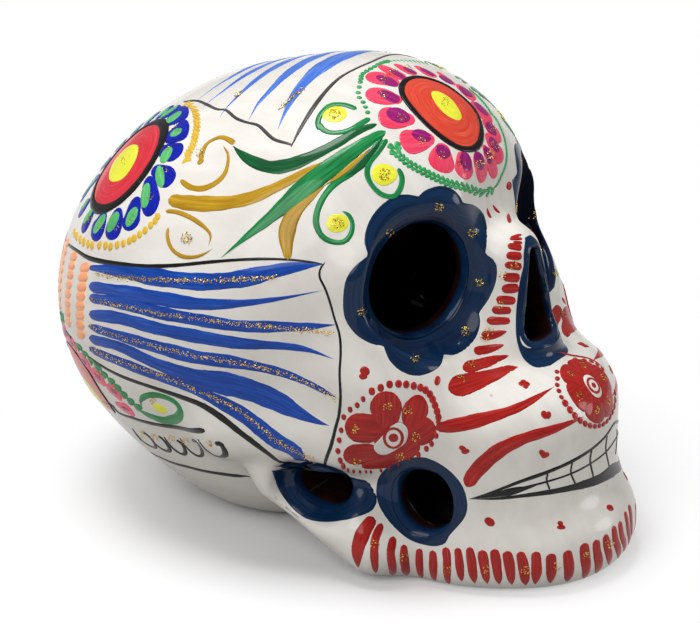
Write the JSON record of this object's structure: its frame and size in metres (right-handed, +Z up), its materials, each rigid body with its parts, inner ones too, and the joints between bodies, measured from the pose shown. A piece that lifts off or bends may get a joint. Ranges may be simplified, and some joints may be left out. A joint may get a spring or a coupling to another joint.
{
  "type": "painted ceramic skull",
  "caption": "Hollow hand-painted ceramic skull with open eyes, nose and cheeks and a fixed jaw, a table ornament for the Day of the Dead.",
  "frame": {"origin": "on the ground, under the middle of the skull's box", "axes": "+Z up, the face looks along -Y, and the skull's own left is +X"},
  "size_m": [0.124, 0.1728, 0.1289],
  "materials": {
    "painted_clay": "white ground, painted ornament, gloss varnish",
    "slip_clay": "fired slip under the same ground and varnish"
  },
  "bodies": {
    "root": {"cranium_right_half": "painted_clay", "cranium_left_half": "painted_clay", "jaw": "painted_clay", "crown_seam": "slip_clay", "lip_seam": "slip_clay", "mouth_slip": "slip_clay", "bridge_slip_right": "slip_clay", "bridge_slip_left": "slip_clay", "heel_slip": "slip_clay"}
  },
  "joints": []
}
